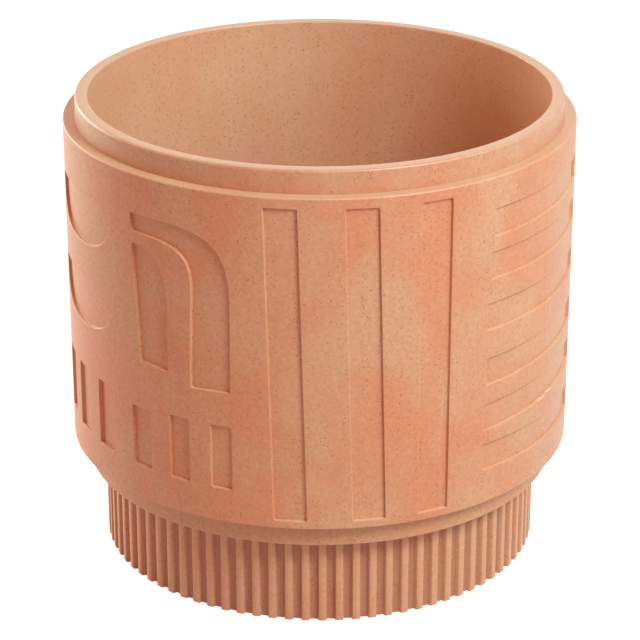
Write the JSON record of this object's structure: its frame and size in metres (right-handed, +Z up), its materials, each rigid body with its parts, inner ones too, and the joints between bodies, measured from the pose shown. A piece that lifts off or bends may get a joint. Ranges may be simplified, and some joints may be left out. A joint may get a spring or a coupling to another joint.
{
  "type": "plastic plant pot",
  "caption": "Round double-walled plastic planter: a drum with sunk geometric figures on a ribbed base, with a lift-out inner pot and drain stoppers.",
  "frame": {"origin": "on the floor under the middle of the base", "axes": "+Z up along the pot's axis; the front, with the two tall bars nearest the middle, faces -Y; +X to the right seen from the front"},
  "size_m": [0.305, 0.305, 0.2855],
  "materials": {
    "drum_plastic": "speckled terracotta, satin, softly cloudy",
    "base_plastic": "speckled terracotta, satin",
    "inner_plastic": "speckled terracotta, satin, paler at the lip",
    "stopper_rubber": "soft matt brown rubber"
  },
  "bodies": {
    "base": {"fluted_base": "base_plastic"},
    "outer_pot": {"outer_pot": "drum_plastic"},
    "inner_pot": {"inner_pot": "inner_plastic"},
    "plug_centre": {"drain_plug_centre": "stopper_rubber"},
    "plug_front": {"drain_plug_front": "stopper_rubber"},
    "plug_right": {"drain_plug_right": "stopper_rubber"},
    "plug_back": {"drain_plug_back": "stopper_rubber"},
    "plug_left": {"drain_plug_left": "stopper_rubber"}
  },
  "joints": [
    {"name": "drum_lift", "type": "slide", "parent": "base", "child": "outer_pot", "axis": [0, 0, 1], "range_m": [0, 0.06]},
    {"name": "inner_pot_lift", "type": "slide", "parent": "outer_pot", "child": "inner_pot", "axis": [0, 0, 1], "range_m": [0, 0.21]},
    {"name": "plug_centre_pull", "type": "slide", "parent": "inner_pot", "child": "plug_centre", "axis": [0, 0, 1], "range_m": [0, 0.03]},
    {"name": "plug_front_pull", "type": "slide", "parent": "inner_pot", "child": "plug_front", "axis": [0, 0, 1], "range_m": [0, 0.03]},
    {"name": "plug_right_pull", "type": "slide", "parent": "inner_pot", "child": "plug_right", "axis": [0, 0, 1], "range_m": [0, 0.03]},
    {"name": "plug_back_pull", "type": "slide", "parent": "inner_pot", "child": "plug_back", "axis": [0, 0, 1], "range_m": [0, 0.03]},
    {"name": "plug_left_pull", "type": "slide", "parent": "inner_pot", "child": "plug_left", "axis": [0, 0, 1], "range_m": [0, 0.03]}
  ]
}
